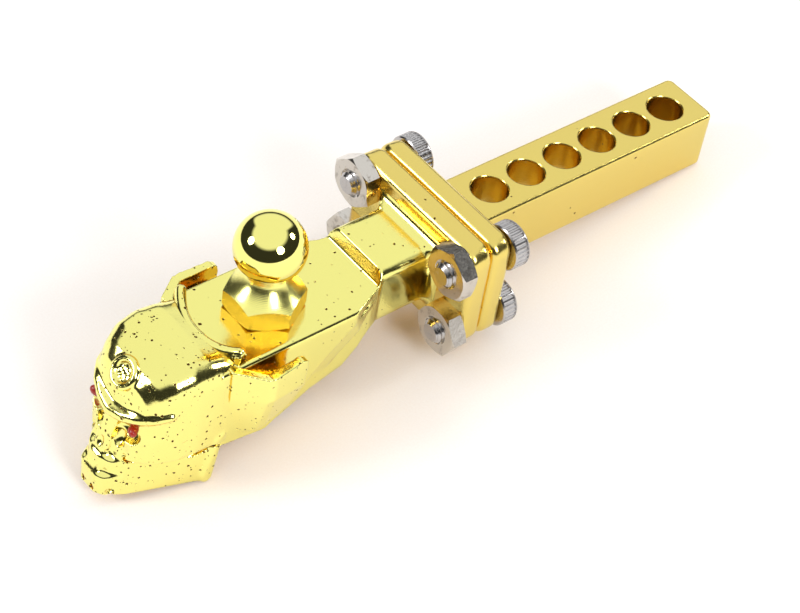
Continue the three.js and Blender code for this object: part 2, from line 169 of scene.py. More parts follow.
def cutBy(piece, cutter, operation="DIFFERENCE", solver="EXACT"):
    applied(piece, "BOOLEAN", object=cutter, operation=operation, solver=solver, use_self=solver == "EXACT")
    bpy.data.objects.remove(cutter)
    return piece


def joined(name, pieces):
    deselectAll()
    for piece in pieces:
        piece.select_set(True)
    bpy.context.view_layer.objects.active = pieces[0]
    bpy.ops.object.join()
    pieces[0].name = name
    return pieces[0]


def mirrored(piece):
    applied(piece, "MIRROR", use_axis=(False, True, False), use_mirror_merge=False)
    return cleaned(piece)


def cleaned(piece, near=1e-4):
    pick(piece)
    bpy.ops.object.mode_set(mode="EDIT")
    bpy.ops.mesh.select_all(action="SELECT")
    bpy.ops.mesh.remove_doubles(threshold=near)
    bpy.ops.mesh.normals_make_consistent(inside=False)
    bpy.ops.object.mode_set(mode="OBJECT")
    return piece


def reskinned(piece, voxel, smoothing, repeats):
    applied(piece, "REMESH", mode="VOXEL", voxel_size=voxel)
    applied(piece, "SMOOTH", factor=smoothing, iterations=repeats)
    return piece


def turnedProfile(name, points, place, steps=96, axis="Z"):
    # a profile of [radius, height] points, spun once round
    deselectAll()
    bpy.ops.mesh.primitive_plane_add(size=1)
    piece = justAdded(name)
    bpy.ops.object.mode_set(mode="EDIT")
    bpy.ops.mesh.select_mode(type="VERT")
    bpy.ops.mesh.select_all(action="SELECT")
    bpy.ops.mesh.merge(type="CENTER")
    bpy.ops.transform.translate(value=(points[0][0], 0, points[0][1]))
    for (r0, h0), (r1, h1) in zip(points, points[1:]):
        bpy.ops.mesh.extrude_vertices_move(TRANSFORM_OT_translate={"value": (r1 - r0, 0, h1 - h0)})
    bpy.ops.mesh.select_all(action="SELECT")
    bpy.ops.mesh.spin(steps=steps, angle=2 * math.pi, center=(0, 0, 0), axis=(0, 0, 1))
    bpy.ops.object.mode_set(mode="OBJECT")
    cleaned(piece)
    piece.rotation_euler = {"X": (0, math.pi / 2, 0), "Z": (0, 0, 0)}[axis]
    piece.location = place
    bpy.ops.object.transform_apply(location=True, rotation=True, scale=True)
    return piece


def arcPoints(centre, radius, start, end, steps):
    # points on an arc in a profile, with the angles in degrees from the outward direction
    angles = [math.radians(start + (end - start) * i / steps) for i in range(steps + 1)]
    return [(centre[0] + radius * math.cos(a), centre[1] + radius * math.sin(a)) for a in angles]


def finishPiece(piece, material, slotName, *nodes, smoothAngle=32, weighted=False):
    cleaned(piece, 1e-5)
    piece.location = (joint * mm, 0, 0)
    piece.scale = (mm, mm, mm)
    pick(piece)
    bpy.ops.object.transform_apply(location=True, rotation=True, scale=True)
    bpy.ops.object.shade_smooth_by_angle(angle=math.radians(smoothAngle))
    if weighted:
        applied(piece, "WEIGHTED_NORMAL", keep_sharp=True, weight=80)
    piece.data.materials.clear()
    piece.data.materials.append(material)
    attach(piece, "root")
    if nodes:
        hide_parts(*nodes)
    print("made", piece.name, len(piece.data.polygons), "faces")
    return piece


def newGroup(name, inputs, outputs):
    group = bpy.data.node_groups.new(name, "ShaderNodeTree")
    for label, kind, value in inputs:
        socket = group.interface.new_socket(name=label, in_out="INPUT", socket_type=kind)
        socket.default_value = value
    for label, kind in outputs:
        group.interface.new_socket(name=label, in_out="OUTPUT", socket_type=kind)
    start = group.nodes.new("NodeGroupInput")
    end = group.nodes.new("NodeGroupOutput")
    return group, start, end


def addNode(tree, kind, **settings):
    node = tree.nodes.new(kind)
    for key, value in settings.items():
        if key.startswith("in_"):
            node.inputs[key[3:]].default_value = value
        else:
            setattr(node, key, value)
    return node


def mathNode(tree, operation, a, b=None, c=None):
    node = tree.nodes.new("ShaderNodeMath")
    node.operation = operation
    for i, value in enumerate((a, b, c)):
        if value is None:
            continue
        if isinstance(value, (int, float)):
            node.inputs[i].default_value = value
        else:
            tree.links.new(value, node.inputs[i])
    return node.outputs[0]


def rangeNode(tree, value, low, high, toLow=0.0, toHigh=1.0):
    node = tree.nodes.new("ShaderNodeMapRange")
    node.interpolation_type = "SMOOTHSTEP"
    tree.links.new(value, node.inputs["Value"])
    for label, amount in (("From Min", low), ("From Max", high), ("To Min", toLow), ("To Max", toHigh)):
        if isinstance(amount, (int, float)):
            node.inputs[label].default_value = amount
        else:
            tree.links.new(amount, node.inputs[label])
    return node.outputs["Result"]


def makePitGroup():
    # small blow holes in a casting: a mask of sparse specks of mixed size, and their depth
    group, start, end = newGroup(
        "castingPits",
        [("Vector", "NodeSocketVector", (0, 0, 0)), ("Spacing", "NodeSocketFloat", 900.0),
         ("Size", "NodeSocketFloat", 0.16), ("Cover", "NodeSocketFloat", 0.5)],
        [("Mask", "NodeSocketFloat"), ("Height", "NodeSocketFloat")],
    )
    link = group.links.new
    wobble = addNode(group, "ShaderNodeTexNoise", in_Scale=2600.0, in_Detail=2.0)
    link(start.outputs["Vector"], wobble.inputs["Vector"])
    shift = addNode(group, "ShaderNodeVectorMath", operation="MULTIPLY_ADD")
    link(wobble.outputs["Color"], shift.inputs[0])
    shift.inputs[1].default_value = (0.00018, 0.00018, 0.00018)
    link(start.outputs["Vector"], shift.inputs[2])
    cells = addNode(group, "ShaderNodeTexVoronoi", feature="F1", in_Randomness=1.0)
    link(shift.outputs[0], cells.inputs["Vector"])
    link(start.outputs["Spacing"], cells.inputs["Scale"])
    parts = addNode(group, "ShaderNodeSeparateColor")
    link(cells.outputs["Color"], parts.inputs["Color"])
    patches = addNode(group, "ShaderNodeTexNoise", in_Scale=260.0, in_Detail=1.0)
    link(start.outputs["Vector"], patches.inputs["Vector"])
    chance = mathNode(group, "ADD", parts.outputs["Red"], patches.outputs["Fac"])
    needed = mathNode(group, "SUBTRACT", 1.75, start.outputs["Cover"])
    kept = mathNode(group, "GREATER_THAN", chance, needed)
    grown = mathNode(group, "MULTIPLY", start.outputs["Size"],
                     mathNode(group, "MULTIPLY_ADD", parts.outputs["Green"], parts.outputs["Green"], 0.35))
    core = mathNode(group, "MULTIPLY", grown, 0.7)
    inside = rangeNode(group, cells.outputs["Distance"], core, grown, 1.0, 0.0)
    mask = mathNode(group, "MULTIPLY", inside, kept)
    link(mask, end.inputs["Mask"])
    link(mathNode(group, "MULTIPLY", mask, -1.0), end.inputs["Height"])
    return group


def makeRippleGroup():
    # the slight unevenness of plated metal: broad soft waves and a fine grain on top
    group, start, end = newGroup(
        "platingRipple",
        [("Vector", "NodeSocketVector", (0, 0, 0)),
         ("Wave Scale", "NodeSocketFloat", 500.0), ("Wave", "NodeSocketFloat", 0.5),
         ("Grain Scale", "NodeSocketFloat", 6000.0), ("Grain", "NodeSocketFloat", 0.1)],
        [("Height", "NodeSocketFloat"), ("Shade", "NodeSocketFloat")],
    )
    link = group.links.new
    wave = addNode(group, "ShaderNodeTexNoise", in_Detail=2.0, in_Roughness=0.45)
    link(start.outputs["Vector"], wave.inputs["Vector"])
    link(start.outputs["Wave Scale"], wave.inputs["Scale"])
    grain = addNode(group, "ShaderNodeTexNoise", in_Detail=3.0, in_Roughness=0.6)
    link(start.outputs["Vector"], grain.inputs["Vector"])
    link(start.outputs["Grain Scale"], grain.inputs["Scale"])
    waves = mathNode(group, "MULTIPLY", wave.outputs["Fac"], start.outputs["Wave"])
    grains = mathNode(group, "MULTIPLY", grain.outputs["Fac"], start.outputs["Grain"])
    link(mathNode(group, "ADD", waves, grains), end.inputs["Height"])
    link(grain.outputs["Fac"], end.inputs["Shade"])
    return group


pitGroup = makePitGroup()
rippleGroup = makeRippleGroup()


def newMaterial(name):
    material = bpy.data.materials.new(name)
    material.use_nodes = True
    tree = material.node_tree
    shader = next(node for node in tree.nodes if node.type == "BSDF_PRINCIPLED")
    place = addNode(tree, "ShaderNodeTexCoord")
    return material, tree, shader, place.outputs["Object"]


def groupNode(tree, group, place, **values):
    node = tree.nodes.new("ShaderNodeGroup")
    node.node_tree = group
    tree.links.new(place, node.inputs["Vector"])
    for label, value in values.items():
        node.inputs[label.replace("_", " ")].default_value = value
    return node


def mixColour(tree, amount, first, second):
    node = tree.nodes.new("ShaderNodeMix")
    node.data_type = "RGBA"
    tree.links.new(amount, node.inputs[0])
    for socket, colour in ((node.inputs[6], first), (node.inputs[7], second)):
        if isinstance(colour, tuple):
            socket.default_value = (*colour, 1)
        else:
            tree.links.new(colour, socket)
    return node.outputs[2]


goldLook = {
    "seen": (0.88, 0.84, 0.26),
    "between": (0.83, 0.55, 0.09),
    # the pits' colour is painted shade: a near-black standing in for the shadow inside each small hole
    "pitShade": (0.10, 0.045, 0.01),
    "pitRoughness": 0.35,
    "pitDepth": 2.0,
}
goldFinishes = {
    "castGold": {
        "seen": goldLook["seen"], "roughness": 0.13, "wave": 1.3, "waveScale": 620.0,
        "grain": 0.26, "grainScale": 5200.0, "cover": 0.72, "pitSize": 0.3, "spacing": 3200.0},
    "smoothGold": {
        "seen": goldLook["seen"], "roughness": 0.14, "wave": 0.9, "waveScale": 420.0,
        "grain": 0.3, "grainScale": 6500.0, "cover": 0.55, "pitSize": 0.24, "spacing": 2200.0},
    "barGold": {
        "seen": (0.77, 0.62, 0.17), "roughness": 0.2, "wave": 2.4, "waveScale": 520.0,
        "grain": 0.26, "grainScale": 6500.0, "cover": 0.42, "pitSize": 0.14, "spacing": 1500.0},
    "ballGold": {
        "seen": goldLook["seen"], "roughness": 0.05, "wave": 0.25, "waveScale": 300.0,
        "grain": 0.05, "grainScale": 7000.0, "cover": 0.34, "pitSize": 0.1, "spacing": 900.0},
    "neckGold": {
        "seen": goldLook["seen"], "roughness": 0.22, "wave": 0.3, "waveScale": 300.0,
        "grain": 0.1, "grainScale": 7000.0, "cover": 0.2, "pitSize": 0.08, "spacing": 900.0,
        "ringScale": 3400.0, "ringDepth": 0.14},
}


def goldMaterial(name):
    # what is seen directly is a pale gold; light passed from gold to gold deepens to amber
    look = goldFinishes[name]
    material, tree, shader, place = newMaterial(name)
    link = tree.links.new
    path = addNode(tree, "ShaderNodeLightPath")
    metal = mixColour(tree, path.outputs["Is Camera Ray"], goldLook["between"], look["seen"])
    pits = groupNode(
        tree, pitGroup, place, Spacing=look["spacing"], Size=look["pitSize"], Cover=look["cover"])
    # the pits are painted near-black as painted shade inside the holes, on top of their real dent from the
    # bump below
    colour = mixColour(tree, pits.outputs["Mask"], metal, goldLook["pitShade"])
    ripple = groupNode(
        tree, rippleGroup, place, Wave_Scale=look["waveScale"], Wave=look["wave"],
        Grain_Scale=look["grainScale"], Grain=look["grain"])
    roughness = look["roughness"]
    rough = rangeNode(tree, ripple.outputs["Shade"], 0.3, 0.7, roughness * 0.85, roughness * 1.15)
    rough = mathNode(tree, "MULTIPLY_ADD", pits.outputs["Mask"], goldLook["pitRoughness"], rough)
    height = mathNode(
        tree, "MULTIPLY_ADD", pits.outputs["Height"], goldLook["pitDepth"], ripple.outputs["Height"])
    if "ringScale" in look:
        rings = addNode(
            tree, "ShaderNodeTexWave", wave_type="BANDS", bands_direction="Z", in_Scale=look["ringScale"])
        rings.inputs["Distortion"].default_value = 0.6
        link(place, rings.inputs["Vector"])
        height = mathNode(tree, "MULTIPLY_ADD", rings.outputs["Fac"], look["ringDepth"], height)
    bump = addNode(tree, "ShaderNodeBump", in_Strength=1.0, in_Distance=0.00002)
    link(height, bump.inputs["Height"])
    link(colour, shader.inputs["Base Color"])
    link(rough, shader.inputs["Roughness"])
    link(bump.outputs["Normal"], shader.inputs["Normal"])
    shader.inputs["Metallic"].default_value = 1.0
    return material


castGold = goldMaterial("castGold")
smoothGold = goldMaterial("smoothGold")
barGold = goldMaterial("barGold")
ballGold = goldMaterial("ballGold")
neckGold = goldMaterial("neckGold")


steelFinishes = {
    "nutSteel": {"colour": (0.62, 0.59, 0.54), "roughness": 0.16, "wave": 0.7, "grain": 0.1, "stain": 0.6},
    "screwSteel": {"colour": (0.5, 0.49, 0.49), "roughness": 0.22, "wave": 0.3, "grain": 0.08, "stain": 0.3},
}
stainColour = (0.16, 0.13, 0.1)


def steelMaterial(name):
    look = steelFinishes[name]
    material, tree, shader, place = newMaterial(name)
    link = tree.links.new
    ripple = groupNode(
        tree, rippleGroup, place, Wave_Scale=700.0, Wave=look["wave"],
        Grain_Scale=7000.0, Grain=look["grain"])
    blotch = addNode(tree, "ShaderNodeTexNoise", in_Scale=1500.0, in_Detail=4.0, in_Roughness=0.7)
    link(place, blotch.inputs["Vector"])
    amount = rangeNode(tree, blotch.outputs["Fac"], 0.52, 0.72, 0.0, look["stain"])
    link(mixColour(tree, amount, look["colour"], stainColour), shader.inputs["Base Color"])
    roughness = look["roughness"]
    rough = rangeNode(tree, ripple.outputs["Shade"], 0.3, 0.7, roughness * 0.8, roughness * 1.25)
    link(rough, shader.inputs["Roughness"])
    bump = addNode(tree, "ShaderNodeBump", in_Strength=1.0, in_Distance=0.00002)
    link(ripple.outputs["Height"], bump.inputs["Height"])
    link(bump.outputs["Normal"], shader.inputs["Normal"])
    shader.inputs["Metallic"].default_value = 1.0
    return material


nutSteel = steelMaterial("nutSteel")
screwSteel = steelMaterial("screwSteel")


enamel = {"bright": (0.42, 0.016, 0.005), "deep": (0.26, 0.008, 0.004), "roughness": 0.32, "coat": 0.15}


def enamelMaterial(look):
    material, tree, shader, place = newMaterial("redEnamel")
    link = tree.links.new
    ripple = groupNode(tree, rippleGroup, place, Wave_Scale=1800.0, Wave=0.8, Grain_Scale=9000.0, Grain=0.1)
    tint = mixColour(tree, ripple.outputs["Shade"], look["bright"], look["deep"])
    link(tint, shader.inputs["Base Color"])
    bump = addNode(tree, "ShaderNodeBump", in_Strength=1.0, in_Distance=0.00003)
    link(ripple.outputs["Height"], bump.inputs["Height"])
    link(bump.outputs["Normal"], shader.inputs["Normal"])
    shader.inputs["Roughness"].default_value = look["roughness"]
    shader.inputs["Coat Weight"].default_value = look["coat"]
    return material


redEnamel = enamelMaterial(enamel)
print("materials ready")


drawbar = {
    "side": 5.5,
    "edge": 0.4,
    "holeRadius": 1.5,
    "holeLip": 0.26,
    "holePitch": 3.85,
    "firstHole": 5.9,
    "holes": 6,
    "flangeSize": (1.95, 14.6, 10.0),
    "flangeCorner": 1.5,
    "flangeEdge": 0.65,
    "endCorner": 0.65,
}


def isFlangeRim(x):
    return lambda a, b: abs(a.x - x) < 1e-3 and abs(b.x - x) < 1e-3


def makeFlange(name, face, size, corner, edge):
    # a plate that stands on the joint, rounded round its outline and along both rims
    side = 1 if face > 0 else -1
    plate = addBox(name, size, (side * size[0] / 2, 0, 0))
    roundEdges(plate, alongX, corner, 10)
    for x in (0, side * size[0]):
        roundEdges(plate, isFlangeRim(x), edge, 6)
    return plate


def makeDrawbar(d):
    bar = addBox("bar", (barReach - 0.5, d["side"], d["side"]), ((barReach + 0.5) / 2, 0, 0))
    half = d["side"] / 2
    roundEdges(bar, lambda a, b: min(a.x, b.x) > barReach - 1e-3 and abs(a.z - b.z) > 1, d["endCorner"], 8)
    onRim = lambda a, b: abs(abs(a.z) - half) < 1e-4 and abs(a.z - b.z) < 1e-4 and max(a.x, b.x) > 1
    roundEdges(bar, onRim, d["edge"], 5)
    plate = makeFlange("barFlange", 1, d["flangeSize"], d["flangeCorner"], d["flangeEdge"])
    cutBy(plate, bar, "UNION")
    wide = d["holeRadius"] + d["holeLip"]
    lip = arcPoints((wide, half - d["holeLip"]), d["holeLip"], 180, 90, 5)
    lowerLip = [(r, -z) for r, z in reversed(lip)]
    profile = [(0, -half - 1), (wide, -half - 1)] + lowerLip + lip + [(wide, half + 1), (0, half + 1)]
    pins = [
        turnedProfile("pin", profile, (d["firstHole"] + i * d["holePitch"], 0, 0), steps=64)
        for i in range(d["holes"])
    ]
    cutBy(plate, joined("pins", pins))
    plate.name = "drawbarVisual"
    return plate


finishPiece(makeDrawbar(drawbar), barGold, "gold_drawbar", "drawbar", weighted=True)


screw = {
    "head": 3.8,
    "headHeight": 1.45,
    "headEdge": 0.2,
    "knurls": 30,
    "knurlDepth": 0.14,
    "socket": 1.5,
    "socketDepth": 0.9,
    "shank": 2.0,
    "threadDepth": 0.16,
    "pitch": 0.4,
    "length": 6.0,
}
nut = {"across": 4.0, "height": 1.4, "crown": 0.16, "bore": 2.0}


def makeScrew(s):
    radius = s["head"] / 2
    edge = s["headEdge"]
    height = s["headHeight"]
    head = turnedProfile(
        "screwHead",
        [(0, 0), (radius - 0.1, 0), (radius, 0.1), (radius, height - edge)]
        + arcPoints((radius - edge, height - edge), edge, 0, 90, 4)[1:]
        + [(0, height)],
        (0, 0, 0), steps=4 * s["knurls"], axis="X")
    grooves = []
    for i in range(s["knurls"]):
        angle = 2 * math.pi * i / s["knurls"]
        away = radius + s["knurlDepth"] * 0.35
        place = (height * 0.47, away * math.cos(angle), away * math.sin(angle))
        grooves.append(addRod("groove", s["knurlDepth"] * 1.3, height * 0.78, place, axis="X", sides=8))
    cutBy(head, joined("grooves", grooves))
    hexRadius = s["socket"] / 2 / math.cos(math.pi / 6)
    cutBy(head, addRod("socket", hexRadius, 2 * s["socketDepth"], (height, 0, 0), axis="X", sides=6))
    return joined("screw", [head, makeThread(s)])


def makeThread(s):
    # the shank: rings of thread from under the head to the chamfered tip
    outer = s["shank"] / 2
    inner = outer - s["threadDepth"]
    points = [(0, -s["length"]), (inner - 0.1, -s["length"]), (inner, 0.1 - s["length"])]
    turns = int((s["length"] - 0.5) / s["pitch"])
    for i in range(turns):
        low = 0.15 - s["length"] + i * s["pitch"]
        points += [(inner, low), (outer, low + 0.42 * s["pitch"]), (outer, low + 0.58 * s["pitch"])]
    points += [(inner, 0.15 - s["length"] + turns * s["pitch"]), (inner, 0), (0, 0)]
    return turnedProfile("thread", points, (0, 0, 0), steps=48, axis="X")


def makeNut(n):
    # a hexagon crowned on both faces, with a countersunk bore
    hexRadius = n["across"] / 2 / math.cos(math.pi / 6)
    body = addRod("nutBody", hexRadius, n["height"], (-n["height"] / 2, 0, 0), axis="X", sides=6)
    flat = n["across"] / 2 + 0.04
    crown = turnedProfile(
        "nutCrown",
        [(0, -n["height"]), (flat, -n["height"]), (hexRadius + 0.04, n["crown"] - n["height"]),
         (hexRadius + 0.04, -n["crown"]), (flat, 0), (0, 0)],
        (0, 0, 0), steps=96, axis="X")
    cutBy(body, crown, "INTERSECT")
    bore = n["bore"] / 2
    lead = 0.22
    hole = turnedProfile(
        "nutBore",
        [(0, -n["height"] - 0.2), (bore + lead + 0.2, -n["height"] - 0.2), (bore, lead - n["height"]),
         (bore, -lead), (bore + lead + 0.2, 0.2), (0, 0.2)],
        (0, 0, 0), steps=64, axis="X")
    cutBy(body, hole)
    applied(body, "BEVEL", width=0.05, segments=2, limit_method="ANGLE", angle_limit=math.radians(25))
    body.name = "nut"
    return body


def placedCopy(source, name, place, turn):
    piece = source.copy()
    piece.data = source.data.copy()
    piece.name = name
    bpy.context.scene.collection.objects.link(piece)
    piece.rotation_euler = (math.radians(turn), 0, 0)
    piece.location = place
    pick(piece)
    bpy.ops.object.transform_apply(location=True, rotation=True, scale=True)
    return piece


screwModel = makeScrew(screw)
nutModel = makeNut(nut)
screwTurns = (12, 47, 0, 25)
nutTurns = (22, 38, 0, 0)
for i in range(4):
    low, high = boxInMm(f"cap_screw_{i + 1}")
    y, z = (low.y + high.y) / 2, (low.z + high.z) / 2
    headSeat = drawbar["flangeSize"][0]
    copyOfScrew = placedCopy(screwModel, f"capScrew{i + 1}", (headSeat, y, z), screwTurns[i])
    finishPiece(copyOfScrew, screwSteel, "screw_steel", f"cap_screw_{i + 1}", smoothAngle=28)
    nutSeat = boxInMm(f"hex_nut_{i + 1}")[1].x
    copyOfNut = placedCopy(nutModel, f"hexNut{i + 1}", (nutSeat, y, z), nutTurns[i])
    finishPiece(copyOfNut, nutSteel, "nut_steel", f"hex_nut_{i + 1}", smoothAngle=24, weighted=True)
bpy.data.objects.remove(screwModel)
bpy.data.objects.remove(nutModel)


neck = {
    "flangeSize": (2.15, 14.6, 10.0),
    "top": 2.75,
    "bottom": -2.9,
    "half": 3.1,
    "fillet": 0.9,
    "topEdge": 0.8,
    "length": 7.25,
    "stepFoot": 0.45,
}
platform = {
    "top": 1.38,
    "half": 4.45,
    "ballX": middleOf("hitch_ball").x,
    "skull": -22.3,
    "draft": 9.0,
    "topEdge": 0.4,
    "pocketGap": 0.23,
    "voxel": 0.1,
}


def plateFromOutline(name, points, start, depth, plane):
    # an outline drawn point by point, filled, and pushed `depth` along the axis that its plane leaves out
    put = {
        "XY": lambda u, v: Vector((u, v, start)),
        "XZ": lambda u, v: Vector((u, start, v)),
        "YZ": lambda u, v: Vector((start, u, v)),
    }[plane]
    push = {"XY": Vector((0, 0, depth)), "XZ": Vector((0, depth, 0)), "YZ": Vector((depth, 0, 0))}[plane]
    corners = [put(u, v) for u, v in points]
    deselectAll()
    bpy.ops.mesh.primitive_plane_add(size=1)
    piece = justAdded(name)
    bpy.ops.object.mode_set(mode="EDIT")
    bpy.ops.mesh.select_mode(type="VERT")
    bpy.ops.mesh.select_all(action="SELECT")
    bpy.ops.mesh.merge(type="CENTER")
    bpy.ops.transform.translate(value=corners[0])
    for a, b in zip(corners, corners[1:]):
        bpy.ops.mesh.extrude_vertices_move(TRANSFORM_OT_translate={"value": b - a})
    bpy.ops.mesh.select_all(action="SELECT")
    bpy.ops.mesh.edge_face_add()
    bpy.ops.mesh.extrude_region_move(TRANSFORM_OT_translate={"value": push})
    bpy.ops.object.mode_set(mode="OBJECT")
    return cleaned(piece)


def grownAlongX(name, sections):
    # a bar of rectangular sections (x, bottom, top, half width), each extruded from the one before
    x, bottom, top, half = sections[0]
    piece = addBox(name, (0.2, 2 * half, top - bottom), (x + 0.1, 0, (top + bottom) / 2))
    for nextX, nextBottom, nextTop, nextHalf in sections[1:]:
        middle = Vector((nextX, 0, (nextTop + nextBottom) / 2))
        step = middle - Vector((x, 0, (top + bottom) / 2))
        stretch = (1, nextHalf / half, (nextTop - nextBottom) / (top - bottom))
        end = min(corner.co.x for corner in piece.data.vertices)

        def extend():
            bpy.ops.mesh.extrude_region_move(TRANSFORM_OT_translate={"value": step})
            bpy.ops.transform.resize(value=stretch, center_override=middle)

        editFaces(piece, lambda face: abs(face.center.x - end) < 1e-3 and abs(face.normal.x) > 0.9, extend)
        x, bottom, top, half = nextX, nextBottom, nextTop, nextHalf
    return cleaned(piece)


def cornerCutters():
    # what is cut off the walls where the platform narrows to the neck
    plan = [(-11.4, 4.78), (-7.3, 3.1), (-7.3, 7), (-11.4, 7)]
    cutters = []
    for side in (1, -1):
        cutters.append(plateFromOutline("corner", [(x, side * y) for x, y in plan], -9, 12, "XY"))
    return joined("corners", cutters)


def makeWall(name, outline, half, edge, draft):
    # one half of the wall leans in towards its foot, and the other is its mirror image
    wall = plateFromOutline(name, outline, -half, half + 0.5, "XZ")
    wall.rotation_euler = (math.radians(draft), 0, 0)
    pick(wall)
    bpy.ops.object.transform_apply(location=True, rotation=True, scale=True)
    top = max(z for x, z in outline)
    onTop = lambda a, b: min(a.z, b.z) > top - 1e-3 and abs(a.x - b.x) > 1 and a.y < -1
    roundEdges(wall, onTop, edge, 4)
    cutBy(wall, cornerCutters())
    return mirrored(wall)


def makeNeckAndBelly(n, p):
    top = p["top"]
    start = -n["flangeSize"][0]
    r = n["fillet"]
    fillet = []
    for share in (0.0, 0.06, 0.16, 0.32, 0.58, 1.0):
        grown = r - math.sqrt(r * r - (r * (1 - share)) ** 2)
        fillet.append((start - share * r, n["bottom"] - grown * 0.6, n["top"] + grown, n["half"] + grown))
    foot = n["stepFoot"]
    belly = grownAlongX("belly", [
        (-1.0, n["bottom"] - r * 0.6, n["top"] + r, n["half"] + r),
        *fillet,
        (-n["length"], n["bottom"], n["top"], n["half"]),
        (-n["length"] - foot, -3.0, top + 0.16, 3.3),
        (-n["length"] - 1.1, -3.2, top, 3.5),
        (-9.2, -4.3, top, 3.6),
        (-10.6, -5.6, top, 3.65),
        (-13.6, -6.5, top, 3.65),
        (-16.4, -8.0, top, 3.65),
        (-18.6, -8.5, top, 3.6),
        (-23.6, -7.6, top, 3.5),
    ])
    roundEdges(belly, lambda a, b: abs(a.x - b.x) > 0.05 and a.z < 0 and b.z < 0, 0.7, 3)
    onNeckTop = lambda a, b: min(a.z, b.z) > n["top"] - 0.01 and max(a.x, b.x) < start - 0.8 * r
    roundEdges(belly, lambda a, b: abs(a.x - b.x) > 0.05 and onNeckTop(a, b), n["topEdge"], 4)
    first = [(-8.0, top), (-8.6, 1.0), (-10.0, 0.4), (-12.7, -1.8), (-14.2, -3.2), (-16.2, -5.6),
             (-18.4, -7.0), (-23.0, -6.4), (-23.0, top)]
    second = [(-8.0, top - 0.5), (-9.6, -0.2), (-11.3, -2.3), (-12.6, -4.0), (-14.4, -5.5), (-16.6, -7.2),
              (-18.8, -7.9), (-23.0, -7.1), (-23.0, top - 0.5)]
    outerWall = makeWall("outerWall", first, p["half"], p["topEdge"], 0.0)
    secondWall = makeWall("secondWall", second, p["half"] - 0.15, 0.1, p["draft"])
    body = reskinned(joined("tongueBody", [belly, outerWall, secondWall]), p["voxel"], 0.5, 3)
    return cutBy(body, makePocket(p), solver="MANIFOLD")


def makePocket(p):
    # the hexagonal pocket under the ball seat, which holds the nut from turning
    nutLow, nutHigh = boxInMm("ball_nut")
    washerTop = boxInMm("ball_lock_washer")[1].z
    corner = max(nutHigh.x - nutLow.x, nutHigh.y - nutLow.y) / 2 + p["pocketGap"]
    turn = 30 if nutHigh.x - nutLow.x > nutHigh.y - nutLow.y else 0
    depth = washerTop + 12
    place = (p["ballX"], 0, washerTop - depth / 2)
    return addRod("pocket", corner, depth, place, sides=6, turn=(0, 0, turn))


wings = {
    "cornerX": -19.75,
    "cornerHalf": 6.43,
    "tipX": -16.3,
    "tipHalf": 6.1,
    "rootHalf": 3.8,
    "wall": 0.78,
    "top": 1.15,
    "bottom": -6.1,
    "draft": 1.45,
    "voxel": 0.075,
}


def makeWing(w, p):
    back = p["skull"]
    plan = [(back + 0.1, 0.3), (back + 0.1, w["rootHalf"] + 0.78),
            (w["cornerX"] - 0.3, w["cornerHalf"] - 0.13), (w["cornerX"] + 0.3, w["cornerHalf"] - 0.03),
            (w["tipX"], w["tipHalf"]), (w["tipX"], 0.3)]
    waist = -1.4
    block = plateFromOutline("wing", plan, waist, 5.4, "XY")
    deep = w["bottom"] - 1.3 - waist

    def drawDown():
        bpy.ops.mesh.extrude_region_move(TRANSFORM_OT_translate={"value": (0, -w["draft"], deep)})

    editFaces(block, lambda face: face.normal.z < -0.9, drawDown)
    side = [(back - 0.5, w["top"] + 0.3), (back + 0.3, w["top"] + 0.3), (w["cornerX"], w["top"] - 0.2),
            (w["tipX"] - 0.55, w["top"]), (w["tipX"] - 0.1, w["top"] - 0.25),
            (w["tipX"], w["top"] - 0.8), (w["tipX"] - 0.25, -1.6), (w["tipX"] - 1.2, -3.6),
            (w["cornerX"], -5.1), (back + 0.8, w["bottom"]), (back - 0.5, w["bottom"] - 0.1)]
    cutBy(block, plateFromOutline("wingSide", side, 0.2, 8, "XZ"), "INTERSECT")
    inner = w["cornerHalf"] - w["wall"]
    gapPlan = [(back + 1.0, 2), (back + 1.0, w["rootHalf"] + 0.45), (w["cornerX"], inner - 0.05),
               (w["tipX"] + 2, w["tipHalf"] - w["wall"]), (w["tipX"] + 2, 2)]
    gap = plateFromOutline("gap", gapPlan, 0, 6, "XY")

    def drawGap():
        bpy.ops.mesh.extrude_region_move(TRANSFORM_OT_translate={"value": (0, -1.1, -4.0)})

    editFaces(gap, lambda face: face.normal.z < -0.9, drawGap)
    floorLine = [(back, 0.5), (w["cornerX"], -0.6), (w["tipX"] + 2, -3.0), (w["tipX"] + 2, 8), (back, 8)]
    cutBy(gap, plateFromOutline("gapFloor", floorLine, 0, 9, "XZ"), "INTERSECT")
    cutBy(block, gap)
    return block


crest = {"radius": 0.42, "top": 2.2, "half": 3.75, "horn": 0.5, "sweep": 1.35, "beads": 48}


def makeCrest(c, back):
    beads = []
    for i in range(c["beads"] + 1):
        s = 2 * i / c["beads"] - 1
        x = back - 0.1 + c["sweep"] * s * s
        z = c["top"] - c["radius"] + c["horn"] * s ** 4
        beads.append(addBlob("bead", (c["radius"],) * 3, (x, c["half"] * s, z), rows=8))
        beads.append(addBox("web", (0.7, 0.5, 2.6), (x, (c["half"] + 0.15) * s, z - 1.3)))
    return joined("crest", beads)


def makeWingsAndCrest(w, p, c):
    wing = makeWing(w, p)
    whole = joined("wingsAndCrest", [mirrored(wing), makeCrest(c, p["skull"])])
    return reskinned(whole, w["voxel"], 0.5, 3)


tonguePlate = makeFlange(
    "tongueFlange", -1, neck["flangeSize"], drawbar["flangeCorner"], drawbar["flangeEdge"])
finishPiece(tonguePlate, barGold, "gold_casting", "tongue", weighted=True)
finishPiece(makeNeckAndBelly(neck, platform), smoothGold, "gold_casting", "tongue", smoothAngle=60)
finishPiece(makeWingsAndCrest(wings, platform, crest), castGold, "gold_casting", "tongue", smoothAngle=180)


